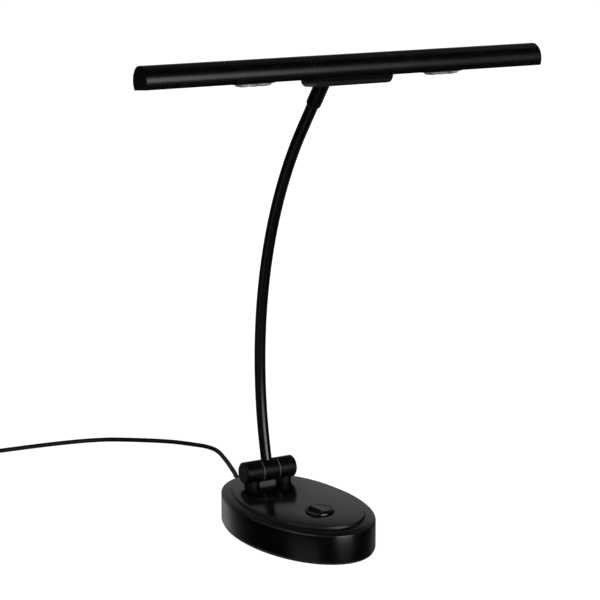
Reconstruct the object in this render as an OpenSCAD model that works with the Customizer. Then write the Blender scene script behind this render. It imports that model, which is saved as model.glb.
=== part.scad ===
// Piano lamp: weighted oval base with a rocker switch, friction hinge,
// curved tube arm, swivelling and tilting neck, slim D-section light bar.
// Millimetres. +Z up, origin on the table under the middle of the oval base.
// +X runs along the light bar and the hinge axis, -Y is the switch side.

/* [Base] */
// Half width of the oval base, across
base_a = 49.1; // [46:0.1:52]
// Half length of the oval base, front to back
base_b = 84.5; // [83.2:0.1:85.6]
// Height of the flat top of the base
base_h = 26.9; // [26.6:0.1:27.4]
// Wall thickness of the base shell
shell_t = 3; // [2.6:0.1:3.2]
// Thickness of the soft pad under the base
pad_t = 1.5; // [1.5]
// Thickness of the steel bottom plate
plate_t = 1.5; // [1.5]
// Height of the cast weight inside the base
weight_h = 14; // [11:0.5:15]

/* [Switch] */
// Distance of the switch in front of the base centre
switch_y = 34.9; // [32:0.1:38]
// Outer radius of the switch rim
bezel_r = 11.25; // [11:0.05:11.6]
// Tilt of the rocker to either side
rocker_tilt = 10; // [8:1:10]

/* [Hinge] */
// Radius of the three hinge barrel sections
barrel_r = 8.75; // [8.6:0.05:9]
// Half length of the whole barrel
barrel_l = 22.3; // [21.6:0.1:22.6]
// Half length of the middle section
mid_l = 6.75; // [6.6:0.05:6.9]
// Thickness of the friction washers
washer_t = 0.6; // [0.5:0.1:0.6]
// Distance of the hinge axis behind the base centre
hinge_y = 46.5; // [46.5]
// Height of the hinge axis above the table
hinge_z = 38.4; // [38.4]
// Distance of the two posts from the middle
post_x = 14.2; // [14:0.1:14.4]
// Radius of the posts
post_r = 6.2; // [5.8:0.1:6.4]

/* [Arm] */
// Outer radius of the arm tube
tube_r = 4.4; // [4.4]
// Wall thickness of the arm tube
tube_t = 1; // [0.9:0.05:1.1]
// Bend radius of the arm
arc_r = 312.1; // [312.1]
// Lean of the upper end of the arm
lean = 38.4; // [38.4]

/* [Neck] */
// Outer radius of the collar at the top of the arm
collar_r = 5.6; // [5.4:0.1:5.8]
// Distance along the straight end where the collar starts
collar_t = 24; // [22:0.5:26]
// Distance along the straight end to the tilt axis
tilt_t = 57; // [57]

/* [Light bar] */
// Outer radius of the bar's round back
bar_r = 10.85; // [10.85]
// Distance of the flat underside below the centre of the round
bar_flat = 5.8; // [5.8]
// Half length of the bar over its end caps
bar_l = 163.2; // [140:0.1:180]
// Wall thickness of the bar
bar_t = 1.5; // [1.3:0.05:1.6]
// Thickness of the end caps
cap_t = 2; // [1.6:0.1:2.4]
// Tilt of the bar at rest, back edge lower
bar_tilt = 5.8; // [5.8]
// Half length of the housing under the middle
house_l = 33; // [32:0.5:34]
// Distance of each light from the middle
light_x = 78.3; // [70:0.1:86]
// Offset of both lights to the right
light_off = 1.9; // [0:0.1:3]

/* [Lead] */
// Diameter of the supply lead
lead_d = 3.8; // [3.6:0.1:4]

/* [Hidden] */
e = 0.01;
function lx(s) = s * light_x + light_off;
arc_y = hinge_y - 300.2;
arc_z = hinge_z + 85.2;
arc_lo = asin(-85.2 / arc_r);
n_rim = 120;
// outer profile of the base shell: inset from the wall, height
rim = [[0.3, pad_t], [0, pad_t + 0.4], [0, 22.1], [0.08, 22.5], [0.3, 22.9], [0.7, 23.25], [1.3, 23.52], [2.3, 23.85],
  [3.8, 24.25], [5.4, 24.55], [6.6, 24.7], [7, 24.82], [7.15, 25.05], [7.22, base_h - 0.75],
  [7.32, base_h - 0.35], [7.55, base_h - 0.1], [7.95, base_h]];
// inner profile of the base shell
hollow = [[shell_t, -1], [shell_t, 18], [shell_t + 0.6, 19.6], [shell_t + 2, 20.7], [shell_t + 6, 21.8],
  [shell_t + 8, base_h - shell_t]];
boss_x = 27; boss_y = 44;
cor = collar_t;
// lead along the table, hand placed points
route = [[5.55, 100.44, 11], [6.84, 103.69, 11], [8.13, 106.94, 11], [9.8, 111.1, 10.7], [11.6, 115.7, 10.1], [13.5, 120.5, 9.2], [15.4, 125.3, 8.2],
  [17.4, 130.3, 7.1], [19.5, 135.6, 5.9], [21.7, 141.1, 4.9], [24.4, 146.6, 4.1], [27.2, 153.9, 3.5], [29.8, 161.1, 3], [32.2, 168, 2.6], [34.5, 174.8, 2.3], [36.6, 181, 2.1],
  [38.4, 187.1, 2], [40.1, 193.1, 2], [41.7, 199.1, 2], [43.3, 205.4, 2], [45, 212, 2], [46.6, 222, 2], [46.4, 230.5, 2], [43.4, 240.5, 2],
  [36.4, 251.5, 2], [27, 264.5, 2], [16, 275, 2], [3, 285.5, 2], [-9, 294, 2], [-21, 301.5, 2], [-36, 307, 2],
  [-54, 311, 2], [-76, 314, 2], [-100, 316, 2], [-126, 317.5, 2], [-142, 317.8, 2], [-151, 317.8, 2]];
tail = [[-150, 368.5, 11.4], [-145, 368.6, 10.4], [-140, 369.2, 8.4], [-135, 371.3, 6], [-131, 375, 4], [-128, 381, 2.6],
  [-127, 388, 2.2], [-128.5, 395, 3.2], [-132, 401.5, 5.6], [-138, 407.3, 9.2], [-145, 411, 12.6], [-151.5, 412, 14], [-155, 412, 14]];
coil_c = [-158, 346];
coil_m = 22.5;

function seg(p, i) = p[min(i + 1, len(p) - 1)] - p[max(i - 1, 0)];
function unit(v) = v / norm(v);
// points of a smooth curve through the route points
function bend(p, i, t) = let(a = p[max(i - 1, 0)], b = p[i], c = p[i + 1], d = p[min(i + 2, len(p) - 1)])
  0.5 * ((2 * b) + (c - a) * t + (2 * a - 5 * b + 4 * c - d) * t * t + (3 * b - a - 3 * c + d) * t * t * t);
function smooth(p, k) = concat([for (i = [0:len(p) - 2]) for (j = [0:k - 1]) bend(p, i, j / k)], [p[len(p) - 1]]);
// side vectors carried along the curve without twist
function carry(v, t) = unit(v - (v * t) * t);
function sides(p, i, v) = i >= len(p) ? [] : let(w = carry(v, unit(seg(p, i)))) concat([w], sides(p, i + 1, w));
module run(p, r, n, first = [0, 0, 1]) {
  s = sides(p, 0, carry(first, unit(seg(p, 0))));
  pts = [for (i = [0:len(p) - 1]) let(t = unit(seg(p, i)), u = s[i], w = cross(t, u))
    for (j = [0:n - 1]) p[i] + r * (cos(360 * j / n) * u + sin(360 * j / n) * w)];
  m = len(p);
  polyhedron(points = pts, faces = concat(
    [[for (j = [0:n - 1]) j]],
    [for (i = [0:m - 2]) for (j = [0:n - 1]) [i * n + j, (i + 1) * n + j, i * n + (j + 1) % n]],
    [for (i = [0:m - 2]) for (j = [0:n - 1]) [i * n + (j + 1) % n, (i + 1) * n + j, (i + 1) * n + (j + 1) % n]],
    [[for (j = [n - 1:-1:0]) (m - 1) * n + j]]));
}

// ring of the oval, drawn in by ins at the sides and more at the ends
function oval(ins, n = n_rim) = let(w = 1.25 * ins + 0.45 * max(0, ins - 4)) [for (i = [0:n - 1]) let(t = 360 * i / n) [(base_a - ins) * cos(t), (base_b - w) * sin(t)]];
module oval_slab(ins, z0, z1) translate([0, 0, z0]) linear_extrude(z1 - z0) polygon(oval(ins, 96));
module oval_loft(prof, n = n_rim) {
  m = len(prof);
  pts = [for (k = [0:m - 1]) for (q = oval(prof[k][0], n)) [q[0], q[1], prof[k][1]]];
  polyhedron(points = pts, faces = concat(
    [[for (j = [0:n - 1]) j]],
    [for (k = [0:m - 2]) for (j = [0:n - 1]) [k * n + j, (k + 1) * n + j, k * n + (j + 1) % n]],
    [for (k = [0:m - 2]) for (j = [0:n - 1]) [k * n + (j + 1) % n, (k + 1) * n + j, (k + 1) * n + (j + 1) % n]],
    [[for (j = [n - 1:-1:0]) (m - 1) * n + j]]));
}
module boxy(a, b) translate(a) cube(b - a);
module cyl_x(x0, x1, r, n = 64) translate([x0, 0, 0]) rotate([0, 90, 0]) cylinder(h = x1 - x0, r = r, $fn = n);
module cyl_y(y0, y1, r, n = 48) translate([0, y0, 0]) rotate([-90, 0, 0]) cylinder(h = y1 - y0, r = r, $fn = n);
module corners(x, y) for (i = [-1, 1]) for (j = [-1, 1]) translate([i * x, j * y, 0]) children();
module at_hinge() translate([0, hinge_y, hinge_z]) children();
// straight upper end of the arm, local +Z along the tube
module at_neck() translate([0, arc_y + arc_r * cos(lean), arc_z + arc_r * sin(lean)]) rotate([lean, 0, 0]) children();
// light bar frame: centre of the round back
module at_bar() translate([0, -71.5, 366.9]) rotate([-bar_tilt, 0, 0]) children();
// tilt axis seen from the light bar frame
tilt_y = arc_y + arc_r * cos(lean) - tilt_t * sin(lean) + 71.5;
tilt_z = arc_z + arc_r * sin(lean) + tilt_t * cos(lean) - 366.9;
pu = tilt_y * cos(bar_tilt) - tilt_z * sin(bar_tilt);
pw = tilt_y * sin(bar_tilt) + tilt_z * cos(bar_tilt);

// ---- base
module base_shell() color([0.03, 0.03, 0.03]) difference() {
  union() {
    difference() {
      oval_loft(rim);
      oval_loft(hollow);
    }
    corners(boss_x, boss_y) translate([0, 0, pad_t + plate_t]) cylinder(h = base_h - shell_t - pad_t - plate_t + 0.6, r = 3.6, $fn = 32);
  }
  corners(boss_x, boss_y) translate([0, 0, 0]) cylinder(h = 14, r = 1.3, $fn = 24);
  translate([0, -switch_y, 20]) cylinder(h = 12, r = 10, $fn = 64);
  for (s = [-1, 1]) translate([s * post_x, hinge_y, 20]) cylinder(h = 12, r = 4.1, $fn = 48);
  translate([0, 0, 11]) cyl_y(74, 92, 4.1);
}
module base_weight() color([0.3, 0.3, 0.31]) difference() {
  oval_slab(shell_t + 1.6, pad_t + plate_t, pad_t + plate_t + weight_h);
  corners(boss_x, boss_y) cylinder(h = 30, r = 4.2, $fn = 32);
  translate([0, -switch_y, 0]) cylinder(h = 30, r = 12.5, $fn = 64);
  boxy([-21.5, hinge_y - 8, 7.5], [21.5, hinge_y + 8, 30]);
  boxy([-7.5, -30, 5.8], [7.5, hinge_y, 30]);
  boxy([-6.5, hinge_y, 6], [6.5, 90, 30]);
}
module base_plate() color([0.35, 0.35, 0.36]) difference() {
  oval_slab(shell_t + 0.3, pad_t, pad_t + plate_t);
  corners(boss_x, boss_y) cylinder(h = 10, r = 1.7, $fn = 24);
  corners(boss_x, boss_y) translate([0, 0, pad_t - e]) cylinder(h = 1.2, r1 = 3, r2 = 1.75, $fn = 24);
}
module base_pad() color([0.06, 0.06, 0.06]) oval_slab(0.9, 0, pad_t);
module plate_screws() color([0.6, 0.6, 0.6]) corners(boss_x, boss_y) {
  translate([0, 0, pad_t]) cylinder(h = 1.15, r1 = 2.9, r2 = 1.3, $fn = 24);
  translate([0, 0, pad_t + 1]) cylinder(h = 9, r = 1.3, $fn = 24);
}

// ---- rocker switch
module switch_body() color([0.02, 0.02, 0.02]) translate([0, -switch_y, 0]) difference() {
  union() {
    rotate_extrude($fn = 96) polygon([[8.9, base_h], [bezel_r - 0.2, base_h], [bezel_r, base_h + 0.3], [bezel_r - 0.15, base_h + 0.9],
      [bezel_r - 0.6, base_h + 1.6], [bezel_r - 1.2, base_h + 2.05], [bezel_r - 1.7, base_h + 2.2], [9.25, base_h + 2.1],
      [8.95, base_h + 1.8], [8.9, base_h + 1.4]]);
    translate([0, 0, 9]) cylinder(h = base_h - 9 + e, r = 9.9, $fn = 64);
    for (s = [-1, 1]) boxy([s * 9 - 2, -3, base_h - shell_t - 2.6], [s * 9 + 2, 3, base_h - shell_t - 0.1]);
  }
  difference() {
    translate([0, 0, 11]) cylinder(h = 30, r = 8.9, $fn = 64);
    boxy([-0.6, -2, 10], [0.6, 2, 17.3]);
  }
  translate([0, 0, 25]) cyl_y(-10.5, 10.5, 1.25, 32);
  for (s = [-1, 1]) boxy([s * 5 - 0.4, -2.4, 0], [s * 5 + 0.4, 2.4, 12]);
}
module switch_rocker() color([0.02, 0.02, 0.02]) translate([0, -switch_y, 25]) rotate([0, rocker_tilt, 0]) difference() {
  union() {
    intersection() {
      translate([0, 0, -1.6]) cylinder(h = 12, r = 7.9, $fn = 64);
      rotate([90, 0, 0]) translate([0, 0, -10]) linear_extrude(20) polygon(concat([[-9, -1.6], [9, -1.6]],
        [for (x = [9:-1.5:-9]) [x, 4.2 + tan(rocker_tilt) * (sqrt(x * x + 2.25) - 1.5)]]));
    }
    cyl_y(-9.3, 9.3, 1.2, 32);
  }
  translate([0, 0, -2]) cylinder(h = 4.5, r = 1.6, $fn = 32);
}
module switch_plunger() color([0.75, 0.72, 0.6]) translate([0, -switch_y, 25]) rotate([0, rocker_tilt, 0]) {
  translate([0, 0, -6]) cylinder(h = 8.3, r = 1.4, $fn = 32);
  translate([0, 0, -6.6]) cylinder(h = 0.61, r1 = 0.8, r2 = 1.4, $fn = 32);
}
module switch_contact() color([0.8, 0.65, 0.3]) translate([0, -switch_y, 17.8]) rotate([0, -5, 0]) {
  boxy([-6.4, -2.2, -0.4], [6.4, 2.2, 0.4]);
}
module switch_blades() color([0.8, 0.75, 0.6]) translate([0, -switch_y, 0]) for (s = [-1, 1]) difference() {
  boxy([s * 5 - 0.4, -2.4, 4.4], [s * 5 + 0.4, 2.4, 16.8]);
  translate([0, 0, 6.2]) cyl_x(s * 5 - 2, s * 5 + 2, 0.7, 24);
}

// ---- hinge
module bracket(s) at_hinge() difference() {
  union() {
    if (s < 0) {
      cyl_x(-barrel_l + 1, -mid_l - washer_t, barrel_r, 96);
      translate([-barrel_l, 0, 0]) rotate([0, 90, 0]) cylinder(h = 1, r1 = barrel_r - 1, r2 = barrel_r, $fn = 96);
    } else {
      cyl_x(mid_l + washer_t, barrel_l - 1, barrel_r, 96);
      translate([barrel_l - 1, 0, 0]) rotate([0, 90, 0]) cylinder(h = 1, r1 = barrel_r, r2 = barrel_r - 1, $fn = 96);
    }
    translate([s * post_x, 0, base_h - hinge_z]) cylinder(h = hinge_z - base_h - 2, r = post_r, $fn = 64);
    translate([s * post_x, 0, 15.5 - hinge_z]) cylinder(h = base_h - 15, r = 3.9, $fn = 48);
  }
  cyl_x(min(s * 6, s * 24), max(s * 6, s * 24), 4, 48);
  cyl_x(min(s * 9.7, s * 24), max(s * 9.7, s * 24), 6.6, 64);
  cyl_x(min(s * (barrel_l - 1.3), s * 24), max(s * (barrel_l - 1.3), s * 24), 7, 64);
  if (s > 0) translate([post_x, 0, -30]) cylinder(h = 30, r = 1.8, $fn = 32);
}
module bracket_left() color([0.03, 0.03, 0.03]) bracket(-1);
module bracket_right() color([0.03, 0.03, 0.03]) bracket(1);
module bracket_washers() color([0.7, 0.7, 0.7]) for (s = [-1, 1]) translate([s * post_x, hinge_y, base_h - shell_t - 1]) difference() {
  cylinder(h = 1, r = 6.6, $fn = 48);
  translate([0, 0, -1]) cylinder(h = 3, r = 4.1, $fn = 48);
}
module bracket_nuts() color([0.7, 0.7, 0.7]) for (s = [-1, 1]) translate([s * post_x, hinge_y, base_h - shell_t - 5]) difference() {
  cylinder(h = 4, r = 6.4, $fn = 6);
  translate([0, 0, -1]) cylinder(h = 6, r = 3.9, $fn = 48);
}
module knuckle() color([0.03, 0.03, 0.03]) difference() {
  at_hinge() cyl_x(-mid_l, mid_l, barrel_r, 96);
  at_hinge() cyl_x(-8, 8, 4, 48);
  arm_solid(tube_r, arc_lo + 0.9);
  arm_solid(2.4, arc_lo);
}
module pivot_screws() color([0.7, 0.7, 0.7]) at_hinge() for (s = [-1, 1]) difference() {
  union() {
    cyl_x(min(s * 3.2, s * 10.3), max(s * 3.2, s * 10.3), 3.95, 48);
    cyl_x(min(s * 10.2, s * 12.2), max(s * 10.2, s * 12.2), 6, 48);
  }
  cyl_x(min(s, s * 14), max(s, s * 14), 1.9, 32);
  for (a = [0, 90]) rotate([a, 0, 0]) boxy([min(s * 11.2, s * 13), -7, -0.5], [max(s * 11.2, s * 13), 7, 0.5]);
}
module spring_washers() color([0.75, 0.75, 0.75]) at_hinge() for (s = [-1, 1]) difference() {
  cyl_x(min(s * 9.7, s * 10.2), max(s * 9.7, s * 10.2), 5.6, 48);
  cyl_x(min(s * 9, s * 11), max(s * 9, s * 11), 4.05, 48);
}
module friction_washers() color([0.35, 0.35, 0.33]) at_hinge() for (s = [-1, 1]) difference() {
  cyl_x(min(s * mid_l, s * (mid_l + washer_t)), max(s * mid_l, s * (mid_l + washer_t)), barrel_r - 0.2, 96);
  cyl_x(min(s * 5, s * 9), max(s * 5, s * 9), 4.05, 48);
}
module hinge_cap(s) at_hinge() union() {
  cyl_x(min(s * (barrel_l - 1.3), s * barrel_l), max(s * (barrel_l - 1.3), s * barrel_l), 7, 64);
  difference() {
    cyl_x(min(s * (barrel_l - 3.2), s * (barrel_l - 1.25)), max(s * (barrel_l - 3.2), s * (barrel_l - 1.25)), 6.6, 64);
    cyl_x(min(s * (barrel_l - 4), s * (barrel_l - 1.3)), max(s * (barrel_l - 4), s * (barrel_l - 1.3)), 5.4, 64);
  }
}
module cap_left() color([0.04, 0.04, 0.04]) hinge_cap(-1);
module cap_right() color([0.04, 0.04, 0.04]) hinge_cap(1);

// ---- arm
module arm_solid(r, a0, ext = 0) {
  translate([0, arc_y, arc_z]) rotate([0, 0, 90]) rotate([90, 0, 0]) rotate([0, 0, a0])
    rotate_extrude(angle = lean - a0 + ext, $fn = 360) translate([arc_r, 0]) circle(r = r, $fn = 48);
}
module arm_tube() color([0.03, 0.03, 0.03]) {
  difference() {
    arm_solid(tube_r, arc_lo + 0.9, 0.04);
    arm_solid(tube_r - tube_t, arc_lo + 0.8, 0.1);
  }
  at_neck() difference() {
    cylinder(h = 37.5, r = tube_r + 0.02, $fn = 48);
    translate([0, 0, -1]) cylinder(h = 40, r = tube_r - tube_t - 0.02, $fn = 48);
  }
}
function on_arc(a) = [0, arc_y + arc_r * cos(a), arc_z + arc_r * sin(a)];
function on_neck(t) = [0, arc_y + arc_r * cos(lean) - t * sin(lean), arc_z + arc_r * sin(lean) + t * cos(lean)];
module arm_lead() color([0.8, 0.8, 0.8]) run(concat([[12.2, hinge_y, hinge_z], [8, hinge_y, hinge_z], [3.4, hinge_y, hinge_z],
  [1.4, hinge_y + 0.2, hinge_z + 0.7], [0.4, hinge_y + 0.5, hinge_z + 2.2]],
  [for (a = [-14.9:3:36.1]) on_arc(a)], [for (t = [2, 12, 22, 32, 44.6]) on_neck(t)]), 1.3, 8, [0, 1, 0]);
module supply_core() color([0.7, 0.7, 0.7]) run(smooth([[0, 79.9, 11], [0, 69, 11], [-1, 60, 11.4], [-2.6, 52, 11.6], [-3, 40, 11.6], [-3, 10, 11.6],
  [-3, -12, 11.4], [-3.4, -18.5, 9.6], [-4.2, -24, 7], [-4.8, -28, 6.3], [-5, -31, 6.2], [-5, -32.5, 6.2]], 3), 1.3, 8);
module riser_core() color([0.7, 0.7, 0.7]) run(smooth([[5, -32.5, 6.2], [5, -31, 6.2], [4.8, -28, 6.3], [4.2, -24, 7], [3.4, -18.5, 9.6], [3, -12, 11.4], [3, 10, 11.6], [3, 28, 11.6],
  [4.6, 37, 11.4], [8.4, 43, 11.2], [12.4, 46, 12], [post_x, hinge_y, 15.5], [post_x, hinge_y, 24], [post_x, hinge_y, 36],
  [13.9, hinge_y, 38], [13, hinge_y, hinge_z], [12.3, hinge_y, hinge_z]], 3), 1.3, 8);

// ---- neck
module swivel_stud() color([0.7, 0.7, 0.7]) at_neck() difference() {
  union() {
    translate([0, 0, cor + 2]) cylinder(h = 35.5 - cor, r = tube_r - tube_t - 0.02, $fn = 48);
    translate([0, 0, 37.5]) cylinder(h = 6.5, r = 3.2, $fn = 40);
  }
  translate([0, 0, cor]) cylinder(h = 30, r = 1.7, $fn = 32);
}
module swivel_washer() color([0.75, 0.75, 0.75]) at_neck() difference() {
  translate([0, 0, 40.1]) cylinder(h = 0.8, r = 4.7, $fn = 40);
  translate([0, 0, 39]) cylinder(h = 3, r = 3.3, $fn = 40);
}
module swivel_nut() color([0.7, 0.7, 0.7]) at_neck() difference() {
  translate([0, 0, 40.9]) rotate([0, 0, 30]) cylinder(h = 2.8, r = 4.5, $fn = 6);
  translate([0, 0, 40]) cylinder(h = 5, r = 3.2, $fn = 40);
}
module collar() color([0.03, 0.03, 0.03]) at_neck() difference() {
  union() {
    translate([0, 0, cor]) cylinder(h = 1.4, r1 = collar_r - 1.1, r2 = collar_r, $fn = 64);
    translate([0, 0, cor + 1.4]) cylinder(h = 50 - cor - 1.4, r = collar_r, $fn = 64);
    intersection() {
      boxy([-6.8, -5.6, 48.6], [6.8, 5.6, tilt_t + 8]);
      union() {
        boxy([-7, -7, 48], [7, 7, tilt_t]);
        translate([0, 0, tilt_t]) cyl_x(-7, 7, 5.6, 64);
      }
    }
  }
  translate([0, 0, cor - 1]) cylinder(h = 38.1 - cor + 1, r = tube_r + 0.05, $fn = 48);
  translate([0, 0, 37]) cylinder(h = 5, r = 3.3, $fn = 40);
  translate([0, 0, 40]) cylinder(h = 8, r = 4.95, $fn = 48);
  boxy([-4, -8, 47.5], [4, 8, tilt_t + 10]);
  translate([0, 0, tilt_t]) cyl_x(-8, 8, 2, 32);
}
module neck_lead() color([0.8, 0.8, 0.8]) run([on_neck(44.7), on_neck(48), on_neck(52), on_neck(tilt_t - 1)], 0.9, 8, [1, 0, 0]);
module tilt_screws() color([0.6, 0.6, 0.6]) at_neck() translate([0, 0, tilt_t]) for (s = [-1, 1]) difference() {
  union() {
    cyl_x(min(s * 1.8, s * 6.9), max(s * 1.8, s * 6.9), 1.95, 32);
    cyl_x(min(s * 6.85, s * 8.4), max(s * 6.85, s * 8.4), 3.3, 40);
  }
  boxy([min(s * 7.6, s * 9), -4, -0.4], [max(s * 7.6, s * 9), 4, 0.4]);
}
module tilt_washers() color([0.35, 0.35, 0.33]) at_neck() translate([0, 0, tilt_t]) for (s = [-1, 1]) difference() {
  cyl_x(min(s * 3.5, s * 4), max(s * 3.5, s * 4), 5.2, 48);
  cyl_x(min(s * 3, s * 5), max(s * 3, s * 5), 2.05, 32);
}

// ---- light bar, drawn in its own frame
module head_bracket() color([0.04, 0.04, 0.04]) at_bar() difference() {
  union() {
    translate([0, pu, pw]) cyl_x(-3.5, 3.5, 5.4, 64);
    boxy([-3.5, pu - 7.2, -9], [3.5, pu - 1, -6]);
    boxy([-3.5, pu - 7.2, -7], [3.5, pu - 2, pw - 1]);
    boxy([-5, -6, -9], [5, pu - 7.2 + e, -6]);
    for (y = [-3, 4]) translate([0, y, -6 - e]) cylinder(h = 1.7 + e, r = 3, $fn = 32);
  }
  for (y = [-3, 4]) translate([0, y, -10]) cylinder(h = 8, r = 1.55, $fn = 24);
  translate([0, pu, pw]) cyl_x(-5, 5, 1.95, 32);
  translate([-1.4, pu, pw]) rotate([90, 0, 90]) linear_extrude(2.8) polygon([[1.6, 1.4], [-1.8, 1.2], [-4.6, -4.4], [-4.2, -8], [0, -9], [7.5, -3.5], [7.5, 1.4]]);
  boxy([-1.2, 7.4, -7.9], [1.2, pu - 1, -5]);
}
module bracket_screws() color([0.65, 0.65, 0.65]) at_bar() for (y = [-3, 4]) translate([0, y, 0]) {
  translate([0, 0, -9.9]) cylinder(h = 0.9, r = 2.6, $fn = 32);
  translate([0, 0, -9.1]) cylinder(h = 6.7, r = 1.5, $fn = 24);
}
module mount_plate() color([0.6, 0.6, 0.6]) at_bar() difference() {
  boxy([-31, -8, -4.3], [31, 8, -2.3]);
  for (y = [-3, 4]) translate([0, y, -6]) cylinder(h = 8, r = 1.5, $fn = 24);
  for (x = [-26, 26]) translate([x, 0, -6]) cylinder(h = 8, r = 1.5, $fn = 24);
  for (x = [-12, 12]) translate([x, 0, -6]) cylinder(h = 8, r = 2.2, $fn = 24);
}
module housing_block(x, y0, y1, z0, r) rotate([90, 0, 0]) translate([0, 0, -y1]) linear_extrude(y1 - y0)
  polygon(concat([[-x, -bar_flat], [-x, z0 + r]], [for (i = [1:7]) [-x + r - r * cos(i * 90 / 8), z0 + r - r * sin(i * 90 / 8)]], [[-x + r, z0], [x - r, z0]],
    [for (i = [1:7]) [x - r + r * sin(i * 90 / 8), z0 + r - r * cos(i * 90 / 8)]], [[x, z0 + r], [x, -bar_flat]]));
module housing() color([0.03, 0.03, 0.03]) at_bar() difference() {
  union() {
    intersection() {
      housing_block(house_l, -9.15, 9.15, -11.2, 5);
      translate([0, 0, 8.4]) cyl_x(-40, 40, 21.4, 128);
    }
    for (x = [-26, 26]) translate([x, 0, -10.6]) cylinder(h = 6.3, r = 3.2, $fn = 32);
  }
  difference() {
    housing_block(house_l - 1.6, -7.6, 7.6, -10.1, 4);
    for (x = [-26, 26]) translate([x, 0, -12]) cylinder(h = 9, r = 3.2, $fn = 32);
  }
  for (x = [-26, 26]) translate([x, 0, -12]) cylinder(h = 9, r = 1.6, $fn = 24);
  for (x = [-26, 26]) translate([x, 0, -12]) cylinder(h = 2.2, r = 2.8, $fn = 24);
  boxy([-5.2, 5, -9.1], [5.2, 12, -5]);
  translate([0, -18.3, -8.55]) cyl_x(-40, 40, 9.4, 128);
}
module housing_screws() color([0.1, 0.1, 0.1]) at_bar() for (x = [-26, 26]) translate([x, 0, 0]) difference() {
  union() {
    translate([0, 0, -10.9]) cylinder(h = 1.1, r = 2.6, $fn = 32);
    translate([0, 0, -10]) cylinder(h = 7.6, r = 1.5, $fn = 24);
  }
  for (a = [0, 90]) rotate([0, 0, a]) boxy([-1.8, -0.3, -11.5], [1.8, 0.3, -10.3]);
}
module driver_board() color([0.1, 0.35, 0.2]) at_bar() boxy([7.5, -6.6, -9.6], [22, 6.6, -8.6]);
module driver_parts() color([0.15, 0.15, 0.15]) at_bar() {
  boxy([9, -5.6, -8.6], [14, -0.6, -5.2]);
  translate([18, 2.8, -8.6]) cylinder(h = 3.4, r = 2.5, $fn = 32);
  boxy([9.5, 1.5, -8.6], [13.5, 5.5, -7]);
  boxy([-22, -5, -10.1], [-10, 5, -5.6]);
}
module bar_round(x0, x1, r) cyl_x(x0, x1, r, 128);
module shade() color([0.03, 0.03, 0.03]) at_bar() difference() {
  bar_round(-bar_l + cap_t, bar_l - cap_t, bar_r);
  boxy([-bar_l - 1, -12, -12], [bar_l + 1, 12, -bar_flat]);
  intersection() {
    bar_round(-bar_l, bar_l, bar_r - bar_t);
    boxy([-bar_l - 1, -12, -4.3], [bar_l + 1, 12, 12]);
  }
  boxy([-bar_l - 1, -7.6, -7], [bar_l + 1, 7.6, -4]);
}
module end_cap(s) at_bar() {
  difference() {
    bar_round(min(s * (bar_l - cap_t), s * bar_l), max(s * (bar_l - cap_t), s * bar_l), bar_r);
    boxy([-bar_l - 1, -12, -12], [bar_l + 1, 12, -bar_flat]);
  }
  difference() {
    bar_round(min(s * (bar_l - cap_t - 4), s * (bar_l - cap_t + 0.1)), max(s * (bar_l - cap_t - 4), s * (bar_l - cap_t + 0.1)), bar_r - bar_t - 0.15);
    bar_round(min(s * (bar_l - cap_t - 5), s * (bar_l - cap_t)), max(s * (bar_l - cap_t - 5), s * (bar_l - cap_t)), bar_r - bar_t - 1.6);
    boxy([-bar_l - 1, -12, -12], [bar_l + 1, 12, -4.1]);
  }
}
module end_cap_left() color([0.03, 0.03, 0.03]) end_cap(-1);
module end_cap_right() color([0.03, 0.03, 0.03]) end_cap(1);
module cover(s) at_bar() difference() {
  boxy([min(s * 33.2, s * (bar_l - cap_t - 0.1)), -7.5, -bar_flat + 0.1], [max(s * 33.2, s * (bar_l - cap_t - 0.1)), 7.5, -4.7]);
  boxy([lx(s) - 14, -6.4, -8], [lx(s) + 14, 6.4, -3]);
}
module cover_left() color([0.05, 0.05, 0.05]) cover(-1);
module cover_right() color([0.05, 0.05, 0.05]) cover(1);
module light_frame(s) at_bar() translate([lx(s), 0, 0]) difference() {
  union() {
    boxy([-13.8, -6.2, -6.3], [13.8, 6.2, -3.2]);
    boxy([-16.3, -8.1, -4.3], [16.3, 8.1, -3.2]);
  }
  boxy([-12.8, -5.1, -8], [12.8, 5.1, 0]);
  boxy([-13.4, -5.5, -5.2], [13.4, 5.5, 0]);
}
module light_frame_left() color([0.05, 0.05, 0.05]) light_frame(-1);
module light_frame_right() color([0.05, 0.05, 0.05]) light_frame(1);
module lens(s) at_bar() translate([lx(s), 0, 0]) difference() {
  union() {
    boxy([-13.3, -5.4, -5.2], [13.3, 5.4, -3.4]);
    intersection() {
      rotate([90, 0, 0]) translate([0, 0, -6]) linear_extrude(12)
        polygon([[-12.6, -5.1], [-12.6, -6.1], [-10.6, -7.9], [10.6, -7.9], [12.6, -6.1], [12.6, -5.1]]);
      rotate([90, 0, 90]) translate([0, 0, -16]) linear_extrude(32)
        polygon([[-4.9, -5], [-4.9, -7.4], [-4.4, -7.9], [4.4, -7.9], [4.9, -7.4], [4.9, -5]]);
    }
    for (x = [-7.4, 0, 7.4]) translate([x, 0, 0]) rotate_extrude($fn = 48) polygon([[0, -8.3], [1.6, -8.25], [2.9, -8.08], [3.9, -7.82], [3.9, -7.7], [0, -7.7]]);
  }
  for (x = [-7.4, 0, 7.4]) translate([x, 0, -6.2]) cylinder(h = 3, r1 = 1.4, r2 = 3.1, $fn = 32);
}
module lens_left() color([0.85, 0.88, 0.9, 0.5]) lens(-1);
module lens_right() color([0.85, 0.88, 0.9, 0.5]) lens(1);
module light_board(s) at_bar() translate([lx(s), 0, 0]) boxy([-16, -7.4, -3.2], [16, 7.4, -1.8]);
module light_board_left() color([0.9, 0.9, 0.88]) light_board(-1);
module light_board_right() color([0.9, 0.9, 0.88]) light_board(1);
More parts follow.
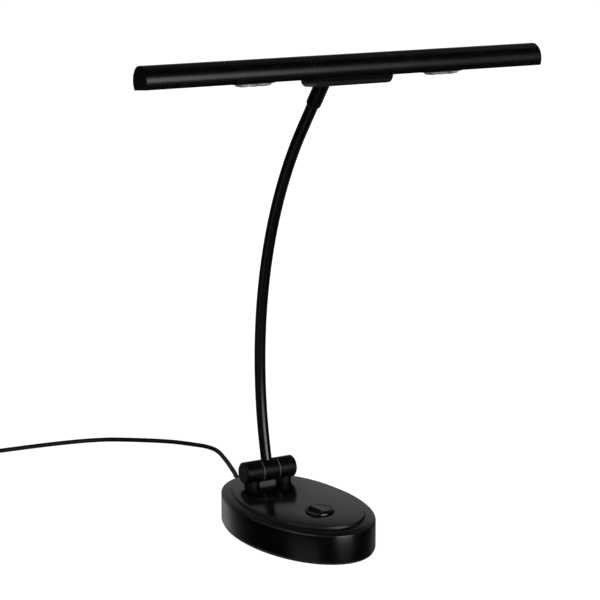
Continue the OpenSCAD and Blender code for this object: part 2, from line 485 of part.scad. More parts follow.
module light_chips() color([0.95, 0.85, 0.4]) at_bar() for (s = [-1, 1]) for (x = [-7.4, 0, 7.4]) translate([lx(s) + x, 0, 0])
  boxy([-1.3, -1.3, -4.1], [1.3, 1.3, -3.2]);
module bar_leads() color([0.75, 0.1, 0.1]) at_bar() for (s = [-1, 1]) run([[s * 12, 0, -4.9], [s * 12.1, 0, -1.2], [s * 14, 0, 0.6], [s * 18, 0, 1.2],
  [lx(s) - s * 22, 0, 1.2], [lx(s) - s * 17, 0, 0.4], [lx(s) - s * 15.2, 0, -0.4], [lx(s) - s * 15, 0, -1.2], [lx(s) - s * 15, 0, -1.8]], 0.9, 8, [0, 1, 0]);

// ---- supply lead
module strain_relief() color([0.03, 0.03, 0.03]) difference() {
  union() {
    translate([0, 0, 11]) {
      cyl_y(80.1, 85.1, 4.05);
      cyl_y(78.7, 80.2, 4.6);
      cyl_y(84.8, 86.5, 5.4);
    }
    translate([0, 86.5, 11]) sphere(r = 3.8, $fn = 48);
    at_relief() {
      rotate([-90, 0, 0]) cylinder(h = 22, r1 = 3.7, r2 = 2.5, $fn = 40);
      for (y = [5, 9, 13, 17]) cyl_y(y, y + 1.6, 3.75 - y * 0.054);
    }
  }
  at_relief() cyl_y(14.99, 26, lead_d / 2 + 0.05, 32);
  translate([0, 0, 11]) cyl_y(74, 79.9, 1.35, 24);
}
// the sleeve leans to the side the lead runs to
module at_relief() translate([0, 86.5, 11]) rotate([0, 0, -21.7]) children();
module cord() color([0.03, 0.03, 0.03]) run(smooth(route, 3), lead_d / 2, 8);
module cord_coil() color([0.03, 0.03, 0.03]) translate([coil_c[0], coil_c[1], 7]) difference() {
  rotate_extrude($fn = 72) translate([coil_m, 0]) circle(r = 6.9, $fn = 32);
  translate([-coil_m, 0, 0]) rotate([90, 0, 0]) difference() {
    translate([0, 0, -2]) cylinder(h = 4, r = 9, $fn = 48);
    translate([0, 0, -3]) cylinder(h = 6, r = 6.1, $fn = 48);
  }
}
module coil_tie() color([0.1, 0.1, 0.1]) translate([coil_c[0] - coil_m, coil_c[1], 7]) rotate([90, 0, 0]) difference() {
  translate([0, 0, -2]) cylinder(h = 4, r = 7, $fn = 48);
  translate([0, 0, -3]) cylinder(h = 6, r = 6.1, $fn = 48);
}
module cord_tail() color([0.03, 0.03, 0.03]) run(smooth(tail, 3), lead_d / 2, 8);
module at_plug() translate([-155, 412, 14]) rotate([0, 0, 180]) children();
module plug_relief() color([0.03, 0.03, 0.03]) at_plug() rotate([0, 90, 0]) difference() {
  cylinder(h = 20, r1 = 2.4, r2 = 4, $fn = 32);
  translate([0, 0, -1]) cylinder(h = 1, r = 3, $fn = 24);
}
module plug_body() color([0.03, 0.03, 0.03]) at_plug() rotate([90, 0, 90]) translate([0, 0, 20]) {
  linear_extrude(34) polygon([[-15, -11], [-12, -14], [12, -14], [15, -11], [15, 11], [12, 14], [-12, 14], [-15, 11]]);
  translate([0, 0, 34]) linear_extrude(6) polygon([[-13.5, -6], [-9, -10], [9, -10], [13.5, -6], [13.5, 6], [9, 10], [-9, 10], [-13.5, 6]]);
}
module plug_pins() color([0.8, 0.8, 0.8]) at_plug() for (s = [-1, 1]) translate([60, s * 9.3, 0]) rotate([0, 90, 0]) {
  cylinder(h = 17.5, r = 2, $fn = 32);
  translate([0, 0, 17.5]) cylinder(h = 1.5, r1 = 2, r2 = 0.8, $fn = 32);
}

base_shell();
base_weight();
base_plate();
base_pad();
plate_screws();
switch_body();
switch_rocker();
switch_plunger();
switch_contact();
switch_blades();
bracket_left();
bracket_right();
bracket_washers();
bracket_nuts();
knuckle();
pivot_screws();
spring_washers();
friction_washers();
cap_left();
cap_right();
arm_tube();
arm_lead();
supply_core();
riser_core();
swivel_stud();
swivel_washer();
swivel_nut();
collar();
neck_lead();
tilt_screws();
tilt_washers();
head_bracket();
bracket_screws();
mount_plate();
housing();
housing_screws();
driver_board();
driver_parts();
shade();
end_cap_left();
end_cap_right();
cover_left();
cover_right();
light_frame_left();
light_frame_right();
lens_left();
lens_right();
light_board_left();
light_board_right();
light_chips();
bar_leads();
strain_relief();
cord();
cord_coil();
coil_tie();
cord_tail();
plug_relief();
plug_body();
plug_pins();
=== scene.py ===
import bpy, bmesh, math
import numpy as np
from mathutils import Vector, Matrix


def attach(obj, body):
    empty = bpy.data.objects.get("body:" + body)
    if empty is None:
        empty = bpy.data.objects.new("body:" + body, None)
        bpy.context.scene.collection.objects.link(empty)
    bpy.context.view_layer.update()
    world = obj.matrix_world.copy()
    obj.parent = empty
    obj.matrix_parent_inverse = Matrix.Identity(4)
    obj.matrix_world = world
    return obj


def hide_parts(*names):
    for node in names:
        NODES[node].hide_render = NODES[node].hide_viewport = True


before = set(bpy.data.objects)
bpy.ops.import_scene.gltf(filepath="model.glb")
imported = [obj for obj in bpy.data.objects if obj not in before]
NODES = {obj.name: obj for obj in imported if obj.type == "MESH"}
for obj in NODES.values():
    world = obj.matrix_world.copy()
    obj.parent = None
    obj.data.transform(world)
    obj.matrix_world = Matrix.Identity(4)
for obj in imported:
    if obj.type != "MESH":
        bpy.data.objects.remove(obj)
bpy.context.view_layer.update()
SCENE = bpy.context.scene
MM = 0.001


# ---------------------------------------------------------------- camera
def make_camera():
    cam = bpy.data.cameras.new("camera")
    cam.lens = 126.02
    cam.sensor_width = 36.0
    cam.sensor_fit = "HORIZONTAL"
    cam.clip_start = 0.05
    cam.clip_end = 60
    ob = bpy.data.objects.new("camera", cam)
    SCENE.collection.objects.link(ob)
    r = Vector((0.8658784, -0.5002544, -0.0002243))
    u = Vector((0.1075884, 0.1857842, 0.9766826))
    f = Vector((0.4885481, 0.8457126, -0.2146881))
    m = Matrix((
        (r.x, u.x, -f.x, -0.77717),
        (r.y, u.y, -f.y, -1.35013),
        (r.z, u.z, -f.z, 0.52728),
        (0, 0, 0, 1)))
    ob.matrix_world = m
    SCENE.camera = ob
    return ob


make_camera()


# ---------------------------------------------------------------- small helpers
def link(ob):
    SCENE.collection.objects.link(ob)
    return ob


def smooth_normals(me, limit):
    """Soft shading over small facet angles; vertices stay where they are."""
    n = len(me.vertices)
    co = np.zeros(n * 3, np.float32)
    me.vertices.foreach_get("co", co)
    co = co.reshape(-1, 3)
    key = np.round(co * 1e6 / 2).astype(np.int64)
    _, group = np.unique(key, axis=0, return_inverse=True)
    group = group.reshape(-1)
    np_ = len(me.polygons)
    fn = np.zeros(np_ * 3, np.float32)
    me.polygons.foreach_get("normal", fn)
    fn = fn.reshape(-1, 3).astype(float)
    area = np.zeros(np_, np.float32)
    me.polygons.foreach_get("area", area)
    tot = np.zeros(np_, np.int32)
    me.polygons.foreach_get("loop_total", tot)
    lv = np.zeros(len(me.loops), np.int32)
    me.loops.foreach_get("vertex_index", lv)
    lp = np.repeat(np.arange(np_), tot)
    lg = group[lv]
    order = np.argsort(lg, kind="stable")
    start = np.searchsorted(lg[order], np.arange(group.max() + 2))
    out = np.zeros((len(lv), 3))
    c = math.cos(math.radians(limit))
    # corner angle weights keep long thin facets from pulling the shading
    starts = np.zeros(np_, np.int32)
    me.polygons.foreach_get("loop_start", starts)
    nxt = np.arange(len(lv)) + 1
    prv = np.arange(len(lv)) - 1
    ends = starts + tot - 1
    nxt[ends] = starts
    prv[starts] = ends
    p = co[lv].astype(float)
    a = p[nxt] - p
    b = p[prv] - p
    na = np.linalg.norm(a, axis=1) + 1e-12
    nb = np.linalg.norm(b, axis=1) + 1e-12
    ang = np.arccos(np.clip((a * b).sum(1) / na / nb, -1, 1))
    for g in range(len(start) - 1):
        idx = order[start[g]:start[g + 1]]
        if len(idx) == 0:
            continue
        nn = fn[lp[idx]]
        w = ang[idx]
        near = (nn @ nn.T) > c
        res = near @ (nn * w[:, None])
        out[idx] = res
    ln = np.linalg.norm(out, axis=1)
    bad = ln < 1e-9
    out[bad] = fn[lp[bad]]
    out /= np.linalg.norm(out, axis=1)[:, None] + 1e-12
    me.polygons.foreach_set("use_smooth", np.ones(np_, bool))
    me.normals_split_custom_set([tuple(v) for v in out])
    me.update()


# ---------------------------------------------------------------- node materials
def new_mat(name):
    m = bpy.data.materials.new(name)
    m.use_nodes = True
    nt = m.node_tree
    bsdf = nt.nodes["Principled BSDF"]
    return m, nt, bsdf


def coords(nt, scale=(1, 1, 1), rot=(0, 0, 0)):
    tc = nt.nodes.new("ShaderNodeTexCoord")
    mp = nt.nodes.new("ShaderNodeMapping")
    mp.inputs["Scale"].default_value = scale
    mp.inputs["Rotation"].default_value = rot
    nt.links.new(tc.outputs["Object"], mp.inputs["Vector"])
    return mp.outputs["Vector"]


def noise(nt, vec, scale, detail=3.0, rough=0.5):
    n = nt.nodes.new("ShaderNodeTexNoise")
    n.inputs["Scale"].default_value = scale
    n.inputs["Detail"].default_value = detail
    n.inputs["Roughness"].default_value = rough
    nt.links.new(vec, n.inputs["Vector"])
    return n.outputs["Fac"]


def ramp(nt, fac, stops):
    r = nt.nodes.new("ShaderNodeValToRGB")
    while len(r.color_ramp.elements) < len(stops):
        r.color_ramp.elements.new(0.5)
    for e, (p, c) in zip(r.color_ramp.elements, stops):
        e.position = p
        e.color = (c[0], c[1], c[2], 1) if hasattr(c, "__len__") else (c, c, c, 1)
    nt.links.new(fac, r.inputs["Fac"])
    return r.outputs["Color"]


def vrange(nt, fac, lo, hi, a=0.0, b=1.0):
    r = nt.nodes.new("ShaderNodeMapRange")
    r.inputs["From Min"].default_value = a
    r.inputs["From Max"].default_value = b
    r.inputs["To Min"].default_value = lo
    r.inputs["To Max"].default_value = hi
    nt.links.new(fac, r.inputs["Value"])
    return r.outputs["Result"]


def math_node(nt, op, x, y):
    n = nt.nodes.new("ShaderNodeMath")
    n.operation = op
    for i, v in enumerate((x, y)):
        if isinstance(v, (int, float)):
            n.inputs[i].default_value = v
        else:
            nt.links.new(v, n.inputs[i])
    return n.outputs[0]


def bump(nt, bsdf, height, strength, dist, chain=None):
    b = nt.nodes.new("ShaderNodeBump")
    b.inputs["Strength"].default_value = strength
    b.inputs["Distance"].default_value = dist
    nt.links.new(height, b.inputs["Height"])
    if chain is not None:
        nt.links.new(chain, b.inputs["Normal"])
    nt.links.new(b.outputs["Normal"], bsdf.inputs["Normal"])
    return b.outputs["Normal"]


def paint(name, base=0.003, rough=0.3, peel=0.12, spec=0.5, turned=False, flake=0.02, top=None, lines=0.5):
    """Satin black finish: fine orange peel, faint wear of the gloss, dust specks."""
    m, nt, s = new_mat(name)
    v = coords(nt)
    broad = noise(nt, v, 35, 3)
    fine = noise(nt, v, 900, 2)
    tiny = noise(nt, v, 2600, 1)
    speck = noise(nt, v, 5200, 0)
    c = (base, base, base * 1.04)
    d = tuple(x * 1.6 for x in c)
    col = ramp(nt, broad, [(0.3, c), (0.75, d)])
    dust = nt.nodes.new("ShaderNodeMix")
    dust.data_type = "RGBA"
    nt.links.new(vrange(nt, speck, 0.0, 0.55, 0.80, 0.86), dust.inputs["Factor"])
    nt.links.new(col, dust.inputs["A"])
    dust.inputs["B"].default_value = (0.006, 0.006, 0.0058, 1)
    nt.links.new(dust.outputs["Result"], s.inputs["Base Color"])
    r = vrange(nt, broad, rough - flake, rough + flake, 0.3, 0.7)
    if top is not None:
        sep = nt.nodes.new("ShaderNodeSeparateXYZ")
        nt.links.new(coords(nt), sep.inputs[0])
        r = math_node(nt, "ADD", r, vrange(nt, sep.outputs["Z"], 0.0, 0.24, 0.02478, 0.0249))
        r = math_node(nt, "ADD", r, vrange(nt, sep.outputs["Z"], 0.0, top[1] - rough - 0.24, top[0] - 0.00005, top[0]))
    r2 = vrange(nt, fine, -0.02, 0.02, 0.3, 0.7)
    nt.links.new(math_node(nt, "ADD", r, r2), s.inputs["Roughness"])
    s.inputs["Specular IOR Level"].default_value = spec
    n1 = bump(nt, s, fine, peel, 0.0002)
    n2 = bump(nt, s, tiny, peel * 0.5, 0.00008, n1)
    if turned:
        sep = nt.nodes.new("ShaderNodeSeparateXYZ")
        nt.links.new(coords(nt), sep.inputs[0])
        w = nt.nodes.new("ShaderNodeTexNoise")
        w.noise_dimensions = "1D"
        w.inputs["Scale"].default_value = 4200
        w.inputs["Detail"].default_value = 2
        nt.links.new(sep.outputs["X"], w.inputs["W"])
        bump(nt, s, w.outputs["Fac"], lines, 0.00012, n2)
    return m


def plastic(name, base, rough, grain=0.15, scale=1400, spec=0.5, coat=0.0):
    m, nt, s = new_mat(name)
    v = coords(nt)
    a = noise(nt, v, scale, 3, 0.6)
    b = noise(nt, v, 60, 3)
    c = base if hasattr(base, "__len__") else (base, base, base)
    col = ramp(nt, b, [(0.3, tuple(x * 0.88 for x in c)), (0.7, tuple(x * 1.12 for x in c))])
    nt.links.new(col, s.inputs["Base Color"])
    nt.links.new(vrange(nt, a, rough - 0.05, rough + 0.05, 0.3, 0.7), s.inputs["Roughness"])
    s.inputs["Specular IOR Level"].default_value = spec
    if coat:
        s.inputs["Coat Weight"].default_value = coat
        s.inputs["Coat Roughness"].default_value = 0.12
    bump(nt, s, a, grain, 0.00015)
    return m


def metal(name, base, rough, brushed=(1, 1, 1), grain=0.12):
    m, nt, s = new_mat(name)
    v = coords(nt, brushed)
    a = noise(nt, v, 1500, 4, 0.6)
    b = noise(nt, coords(nt), 120, 4)
    col = ramp(nt, b, [(0.25, tuple(x * 0.8 for x in base)), (0.75, base)])
    nt.links.new(col, s.inputs["Base Color"])
    s.inputs["Metallic"].default_value = 1.0
    nt.links.new(vrange(nt, a, rough - 0.08, rough + 0.08, 0.3, 0.7), s.inputs["Roughness"])
    bump(nt, s, a, grain, 0.0001)
    return m


MAT = {}
MAT["base_paint"] = paint("base_paint", 0.0012, 0.20, peel=0.1, top=(0.02685, 0.15))
MAT["black_paint"] = paint("black_paint", 0.0012, 0.32, spec=0.22)
MAT["housing_paint"] = paint("housing_paint", 0.0012, 0.26, peel=0.05, spec=0.13)
MAT["turned_paint"] = paint("turned_paint", 0.0012, 0.36, peel=0.04, spec=0.16, turned=True, lines=1.0)
MAT["bar_paint"] = paint("bar_paint", 0.0012, 0.25, peel=0.05)
MAT["tube_paint"] = paint("tube_paint", 0.0012, 0.24, peel=0.08, spec=0.4)
MAT["black_plastic"] = plastic("black_plastic", 0.002, 0.45, 0.2, spec=0.35)
MAT["gloss_black"] = plastic("gloss_black", 0.004, 0.22, 0.04, 700)
MAT["bezel_black"] = plastic("bezel_black", 0.003, 0.18, 0.03, 700)
MAT["pad"] = plastic("soft_pad", 0.006, 0.75, 0.5, 900, 0.3)
MAT["jacket"] = plastic("lead_jacket", 0.0014, 0.5, 0.12, 1100, 0.16)
MAT["steel"] = metal("plain_steel", (0.62, 0.62, 0.63), 0.34)
MAT["cast"] = metal("cast_weight", (0.16, 0.16, 0.165), 0.62, grain=0.9)
MAT["brass"] = metal("contact_metal", (0.83, 0.68, 0.42), 0.3)
MAT["pins"] = metal("chrome_pin", (0.78, 0.78, 0.8), 0.16, grain=0.04)
MAT["fibre"] = plastic("fibre", 0.16, 0.5, 0.3, 1200)
MAT["natural"] = plastic("pin_plastic", (0.7, 0.68, 0.6), 0.35)
MAT["wire_red"] = plastic("wire_red", (0.35, 0.02, 0.015), 0.38, 0.1)
MAT["wire_grey"] = plastic("wire_grey", (0.3, 0.3, 0.31), 0.4, 0.1)
MAT["board_green"] = plastic("board_green", (0.012, 0.09, 0.045), 0.3, 0.1, 900)
MAT["board_white"] = plastic("board_white", (0.75, 0.76, 0.74), 0.35, 0.05, 900)
MAT["chip"] = plastic("chip", (0.75, 0.6, 0.12), 0.35, 0.1, 2000)
MAT["tie"] = plastic("tie", 0.008, 0.6, 0.6, 2600, 0.35)


def lens_mat():
    """Clear moulded optic with painted highlight: pale silvery base-colour bands, uneven along its length, stand in for
    its glints.
    """
    m, nt, s = new_mat("lens")
    v = coords(nt)
    a = noise(nt, v, 700, 3)
    sep = nt.nodes.new("ShaderNodeSeparateXYZ")
    nt.links.new(coords(nt), sep.inputs[0])
    w = nt.nodes.new("ShaderNodeTexNoise")
    w.noise_dimensions = "1D"
    w.inputs["Scale"].default_value = 150
    w.inputs["Detail"].default_value = 1
    nt.links.new(sep.outputs["X"], w.inputs["W"])
    # painted highlight: pale bands of base colour along X stand in for the lens's glints and reflections
    painted_glint_band = math_node(nt, "ADD", math_node(nt, "MULTIPLY", w.outputs["Fac"], 0.5), math_node(nt, "MULTIPLY", a, 0.5))
    col = ramp(nt, painted_glint_band, [(0.36, (0.16, 0.165, 0.17)), (0.48, (0.36, 0.37, 0.38)), (0.62, (0.68, 0.69, 0.71))])
    nt.links.new(col, s.inputs["Base Color"])
    s.inputs["Transmission Weight"].default_value = 0.35
    s.inputs["IOR"].default_value = 1.49
    nt.links.new(vrange(nt, a, 0.10, 0.22, 0.3, 0.7), s.inputs["Roughness"])
    bump(nt, s, a, 0.12, 0.0002)
    return m


MAT["lens"] = lens_mat()

FINISH = {
    "base_shell": "base_paint", "base_weight": "cast", "base_plate": "steel", "base_pad": "pad",
    "plate_screws": "steel", "switch_body": "bezel_black", "switch_rocker": "gloss_black",
    "switch_plunger": "natural", "switch_contact": "brass", "switch_blades": "brass",
    "bracket_left": "turned_paint", "bracket_right": "turned_paint", "bracket_washers": "steel",
    "bracket_nuts": "steel", "knuckle": "turned_paint", "pivot_screws": "steel",
    "spring_washers": "steel", "friction_washers": "fibre", "cap_left": "black_paint",
    "cap_right": "black_paint", "arm_tube": "tube_paint", "arm_lead": "wire_grey",
    "supply_core": "wire_grey", "riser_core": "wire_grey", "swivel_stud": "steel",
    "swivel_washer": "steel", "swivel_nut": "steel", "collar": "black_paint",
    "neck_lead": "wire_grey", "tilt_screws": "steel", "tilt_washers": "fibre",
    "head_bracket": "black_paint", "bracket_screws": "steel", "mount_plate": "steel",
    "housing": "housing_paint", "housing_screws": "black_plastic", "driver_board": "board_green",
    "driver_parts": "black_plastic", "shade": "bar_paint", "end_cap_left": "bar_paint",
    "end_cap_right": "bar_paint", "cover_left": "black_plastic", "cover_right": "black_plastic",
    "light_frame_left": "black_plastic", "light_frame_right": "black_plastic",
    "lens_left": "lens", "lens_right": "lens", "light_board_left": "board_white",
    "light_board_right": "board_white", "light_chips": "chip", "bar_leads": "wire_red",
    "strain_relief": "jacket", "plug_relief": "jacket", "plug_body": "black_plastic",
    "plug_pins": "pins",
}
for node, key in FINISH.items():
    ob = NODES[node]
    ob.data.materials.clear()
    ob.data.materials.append(MAT[key])
SOFTEN = {"base_shell": 20, "arm_tube": 30, "arm_lead": 50, "supply_core": 50, "riser_core": 50,
          "neck_lead": 50, "bar_leads": 50, "base_pad": 20, "housing": 24, "base_plate": 20,
          "base_weight": 20, "switch_rocker": 14}
for node, limit in SOFTEN.items():
    smooth_normals(NODES[node].data, limit)


# ---------------------------------------------------------------- the supply lead
ROUTE = [(5.55, 100.44, 11), (6.84, 103.69, 11), (8.13, 106.94, 11), (9.8, 111.1, 10.7), (11.6, 115.7, 10.1),
         (13.5, 120.5, 9.2), (15.4, 125.3, 8.2), (17.4, 130.3, 7.1), (19.5, 135.6, 5.9), (21.7, 141.1, 4.9), (24.4, 146.6, 4.1),
         (27.2, 153.9, 3.5), (29.8, 161.1, 3), (32.2, 168, 2.6), (34.5, 174.8, 2.3), (36.6, 181, 2.1), (38.4, 187.1, 2),
         (40.1, 193.1, 2), (41.7, 199.1, 2), (43.3, 205.4, 2), (45, 212, 2), (46.6, 222, 2),
         (46.4, 230.5, 2), (43.4, 240.5, 2), (36.4, 251.5, 2), (27, 264.5, 2), (16, 275, 2), (3, 285.5, 2), (-9, 294, 2),
         (-21, 301.5, 2), (-36, 307, 2), (-54, 311, 2), (-76, 314, 2), (-100, 316, 2), (-126, 317.5, 2), (-142, 317.8, 2),
         (-158, 317.8, 2)]
TAIL = [(-150, 368.5, 11.4), (-145, 368.6, 10.4), (-140, 369.2, 8.4), (-135, 371.3, 6), (-131, 375, 4), (-128, 381, 2.6),
        (-127, 388, 2.2), (-128.5, 395, 3.2), (-132, 401.5, 5.6), (-138, 407.3, 9.2), (-145, 411, 12.6), (-151.5, 412, 14),
        (-155, 412, 14)]


def catmull(pts, k):
    pts = [Vector(p) for p in pts]
    out = []
    for i in range(len(pts) - 1):
        a, b, c, d = pts[max(i - 1, 0)], pts[i], pts[i + 1], pts[min(i + 2, len(pts) - 1)]
        for j in range(k):
            t = j / k
            out.append(0.5 * (2 * b + (c - a) * t + (2 * a - 5 * b + 4 * c - d) * t * t
                              + (3 * b - a - 3 * c + d) * t ** 3))
    out.append(pts[-1])
    return out


def coil_points():
    cx, cy, rm, d, z0 = -158.0, 346.0, 22.5, 3.8, 2.0
    lay = d * 0.866
    slots = [(1.5, 0), (0.5, 0), (-0.5, 0), (-1.5, 0), (-1, 1), (0, 1), (1, 1), (0.5, 2), (-0.5, 2), (0, 3)]
    out = []
    steps = 48
    for k in range(10):
        span = steps if k < 9 else steps // 2
        for j in range(span):
            ph = 360.0 * j / steps
            r, z = slots[k][0] * d, slots[k][1] * lay
            if ph > 262 and k < 9:
                t = min((ph - 262) / 72, 1.0)
                r2, z2 = slots[k + 1][0] * d, slots[k + 1][1] * lay
                if z2 > z:
                    tz = min(t * 2, 1.0)
                    tr = max(t * 2 - 1, 0.0)
                else:
                    tz = tr = t
                s = lambda x: x * x * (3 - 2 * x)
                r = r + (r2 - r) * s(tr)
                z = z + (z2 - z) * s(tz)
            a = math.radians(ph)
            rr = rm + r
            out.append(Vector((cx - rr * math.sin(a), cy - rr * math.cos(a), z0 + z)))
    return out


def make_cord():
    pts = catmull(ROUTE, 4)[:-1] + coil_points()
    # the last half turn comes off the top of the bundle at the far side
    end = Vector((-158, 368.5, 2 + 3 * 3.8 * 0.866))
    pts += catmull([end] + [Vector(p) for p in TAIL], 4)
    cu = bpy.data.curves.new("cord_run", "CURVE")
    cu.dimensions = "3D"
    cu.bevel_depth = 1.9 * MM
    cu.bevel_resolution = 5
    cu.use_fill_caps = True
    sp = cu.splines.new("POLY")
    sp.points.add(len(pts) - 1)
    for q, p in zip(sp.points, pts):
        q.co = (p.x * MM, p.y * MM, p.z * MM, 1)
    sp.use_smooth = True
    ob = link(bpy.data.objects.new("cord_run", cu))
    cu.materials.append(MAT["jacket"])
    length = sum((b - a).length for a, b in zip(pts, pts[1:])) * MM
    print("cord length", round(length, 4))
    return ob


cord = make_cord()
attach(cord, "base")
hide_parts("cord", "cord_coil", "cord_tail")


def make_tie():
    """A flat strap pulled round the bundle where the turns lie stacked."""
    d, lay = 3.8, 3.8 * 0.866
    cx, cy = -158 - 22.5, 346.0
    slots = [(1.5, 0), (0.5, 0), (-0.5, 0), (-1.5, 0), (-1, 1), (0, 1), (1, 1), (0.5, 2), (-0.5, 2), (0, 3)]
    circ = []
    for r, z in slots:
        for i in range(36):
            a = 2 * math.pi * i / 36
            circ.append((-r * d + (1.95) * math.cos(a), 2 + z * lay + 1.95 * math.sin(a)))
    circ = sorted(set(circ))

    def half(ps):
        h = []
        for p in ps:
            while len(h) > 1 and (h[-1][0] - h[-2][0]) * (p[1] - h[-2][1]) - (h[-1][1] - h[-2][1]) * (p[0] - h[-2][0]) <= 0:
                h.pop()
            h.append(p)
        return h
    hull = half(circ)[:-1] + half(circ[::-1])[:-1]
    bm = bmesh.new()
    rings = []
    n = len(hull)
    for i in range(n):
        p = Vector((hull[i][0], hull[i][1]))
        q0, q1 = Vector(hull[i - 1]), Vector(hull[(i + 1) % n])
        t = (q1 - q0).normalized()
        nrm = Vector((t.y, -t.x))
        ring = []
        for w, o in ((-2.0, 0.0), (-2.0, 0.35), (-1.8, 0.5), (1.8, 0.5), (2.0, 0.35), (2.0, 0.0)):
            x = p.x + nrm.x * o
            z = max(p.y + nrm.y * o, 0.02)
            ring.append(bm.verts.new(((cx + x) * MM, (cy + w) * MM, z * MM)))
        rings.append(ring)
    for i in range(n):
        a, b = rings[i], rings[(i + 1) % n]
        for j in range(6):
            k = (j + 1) % 6
            bm.faces.new((a[j], a[k], b[k], b[j]))
    bmesh.ops.recalc_face_normals(bm, faces=bm.faces)
    me = bpy.data.meshes.new("tie_strap")
    bm.to_mesh(me)
    bm.free()
    for p in me.polygons:
        p.use_smooth = True
    ob = link(bpy.data.objects.new("tie_strap", me))
    me.materials.append(MAT["tie"])
    return ob


tie = make_tie()
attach(tie, "base")
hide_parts("coil_tie")


# ---------------------------------------------------------------- stage and light
def floor():
    bm = bmesh.new()
    bmesh.ops.create_grid(bm, x_segments=2, y_segments=2, size=12)
    me = bpy.data.meshes.new("floor")
    bm.to_mesh(me)
    bm.free()
    ob = link(bpy.data.objects.new("floor", me))
    ob.location = (0, 0, -0.0002)
    m, nt, s = new_mat("floor")
    v = coords(nt)
    col = ramp(nt, noise(nt, v, 3, 2), [(0.3, 0.28), (0.7, 0.32)])
    nt.links.new(col, s.inputs["Base Color"])
    s.inputs["Roughness"].default_value = 0.9
    s.inputs["Specular IOR Level"].default_value = 0.0
    s.inputs["Emission Color"].default_value = (1, 1, 1, 1)
    s.inputs["Emission Strength"].default_value = 0.96
    me.materials.append(m)
    ob.visible_glossy = False
    ob.visible_diffuse = False
    return ob


floor()


def soft(name, az, el, size, radiance, dist=2.2, target=(0, 0, 0.15)):
    """A broad soft light; az runs from -Y towards +X, el upward, size in metres."""
    a, e = math.radians(az), math.radians(el)
    d = Vector((math.sin(a) * math.cos(e), -math.cos(a) * math.cos(e), math.sin(e)))
    L = bpy.data.lights.new(name, "AREA")
    L.shape = "RECTANGLE"
    L.size = size
    L.size_y = size
    L.energy = radiance * size * size * math.pi
    ob = link(bpy.data.objects.new(name, L))
    ob.location = Vector(target) + d * dist
    ob.rotation_euler = (-d).to_track_quat("-Z", "Y").to_euler()
    ob.visible_camera = False
    ob.visible_glossy = False
    return ob


soft("top_soft", 20, 80, 2.4, 0.35)

# The room as the lamp mirrors it: windows of light by direction.
# az runs from -Y towards +X in degrees, el is the height above the horizon.
LOW = [(-180, .48), (-173, .56), (-162, .19), (-153, .08), (-143, .02), (-132, .006), (-105, .008), (-97, .10), (-90, .27),
       (-60, .27), (-53, .06), (-33, .006), (-20, .04), (-12, .14), (6, .14), (20, .05), (36, .012), (64, .006),
       (90, .05), (112, .13), (140, .16), (165, .26), (180, .48)]
WINDOWS = [  # az centre, half width, softness, el centre, half height, softness, radiance
    (4, 21, 6, 11, 14, 4, 6.0),
    (155, 50, 20, 52, 24, 10, 0.055),
    (-95, 58, 12, 42, 22, 8, 0.40),
    (104, 14, 8, 40, 18, 8, 0.16),
    (-36, 11, 6, 24, 12, 6, 0.40),
    (-128, 18, 8, 20, 9, 5, 0.30),
    (-80, 20, 6, 20, 11, 4, 1.6),
    (150, 26, 14, 13, 12, 7, 0.26),
    (185, 10, 7, 13, 12, 7, 0.42),
]
world = bpy.data.worlds.new("world")
SCENE.world = world
world.use_nodes = True
world.cycles.sampling_method = "NONE"
wt = world.node_tree
for n in list(wt.nodes):
    wt.nodes.remove(n)
out = wt.nodes.new("ShaderNodeOutputWorld")
tc = wt.nodes.new("ShaderNodeTexCoord")
sx = wt.nodes.new("ShaderNodeSeparateXYZ")
wt.links.new(tc.outputs["Generated"], sx.inputs[0])
neg_y = math_node(wt, "MULTIPLY", sx.outputs["Y"], -1.0)
azr = math_node(wt, "ARCTAN2", sx.outputs["X"], neg_y)
azd = math_node(wt, "MULTIPLY", azr, 180 / math.pi)
eld = math_node(wt, "MULTIPLY", math_node(wt, "ARCSINE", sx.outputs["Z"], 0), 180 / math.pi)


def smoothed(value, a, b, lo, hi):
    r = wt.nodes.new("ShaderNodeMapRange")
    r.interpolation_type = "SMOOTHSTEP"
    for k, x in (("From Min", a), ("From Max", b), ("To Min", lo), ("To Max", hi)):
        r.inputs[k].default_value = x
    wt.links.new(value, r.inputs["Value"])
    return r.outputs["Result"]


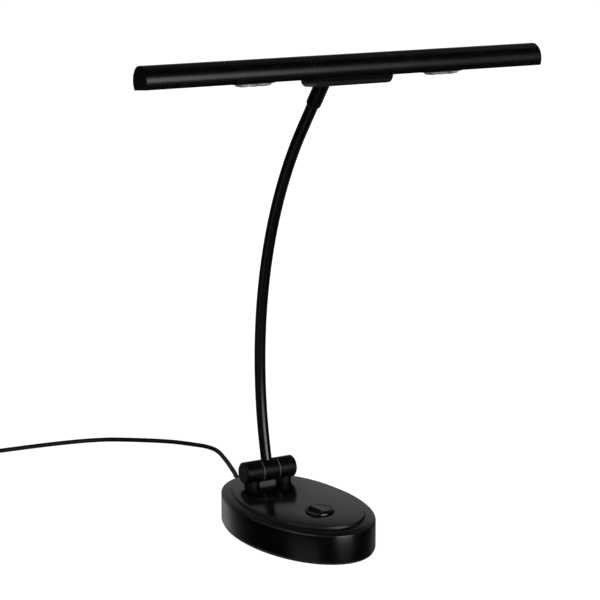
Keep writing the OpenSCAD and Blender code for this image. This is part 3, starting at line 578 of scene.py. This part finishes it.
def window(az, wa, sa, el, we, se, radiance):
    d = math_node(wt, "SUBTRACT", azd, float(az))
    w = wt.nodes.new("ShaderNodeMath")
    w.operation = "WRAP"
    wt.links.new(d, w.inputs[0])
    w.inputs[1].default_value = 180
    w.inputs[2].default_value = -180
    da = math_node(wt, "ABSOLUTE", w.outputs[0], 0)
    de = math_node(wt, "ABSOLUTE", math_node(wt, "SUBTRACT", eld, float(el)), 0)
    m = math_node(wt, "MULTIPLY", smoothed(da, wa - sa, wa + sa, 1, 0), smoothed(de, we - se, we + se, 1, 0))
    return math_node(wt, "MULTIPLY", m, radiance)


low = wt.nodes.new("ShaderNodeValToRGB")
low.color_ramp.interpolation = "LINEAR"
for a, v in LOW:
    p = (a + 180) / 360
    if p <= 0:
        e = low.color_ramp.elements[0]
    elif p >= 1:
        e = low.color_ramp.elements[len(low.color_ramp.elements) - 1]
    else:
        e = low.color_ramp.elements.new(p)
    e.color = (v, v, v, 1)
wt.links.new(vrange(wt, azd, 0, 1, -180, 180), low.inputs["Fac"])
lowbw = wt.nodes.new("ShaderNodeRGBToBW")
wt.links.new(low.outputs["Color"], lowbw.inputs[0])
total = math_node(wt, "MULTIPLY", lowbw.outputs[0], smoothed(eld, -15, -8, 1, 0))
for spec in WINDOWS:
    total = math_node(wt, "ADD", total, window(*spec))
total = math_node(wt, "ADD", total, 0.003)
lp = wt.nodes.new("ShaderNodeLightPath")
mix = wt.nodes.new("ShaderNodeMixShader")
white = wt.nodes.new("ShaderNodeBackground")
white.inputs["Color"].default_value = (1, 1, 1, 1)
white.inputs["Strength"].default_value = 1.05
room = wt.nodes.new("ShaderNodeBackground")
room.inputs["Color"].default_value = (1, 1, 1, 1)
wt.links.new(total, room.inputs["Strength"])
wt.links.new(lp.outputs["Is Camera Ray"], mix.inputs[0])
wt.links.new(room.outputs[0], mix.inputs[1])
wt.links.new(white.outputs[0], mix.inputs[2])
wt.links.new(mix.outputs[0], out.inputs["Surface"])
SCENE.view_settings.view_transform = "Standard"
SCENE.view_settings.look = "None"
SCENE.view_settings.exposure = 0
SCENE.view_settings.gamma = 1
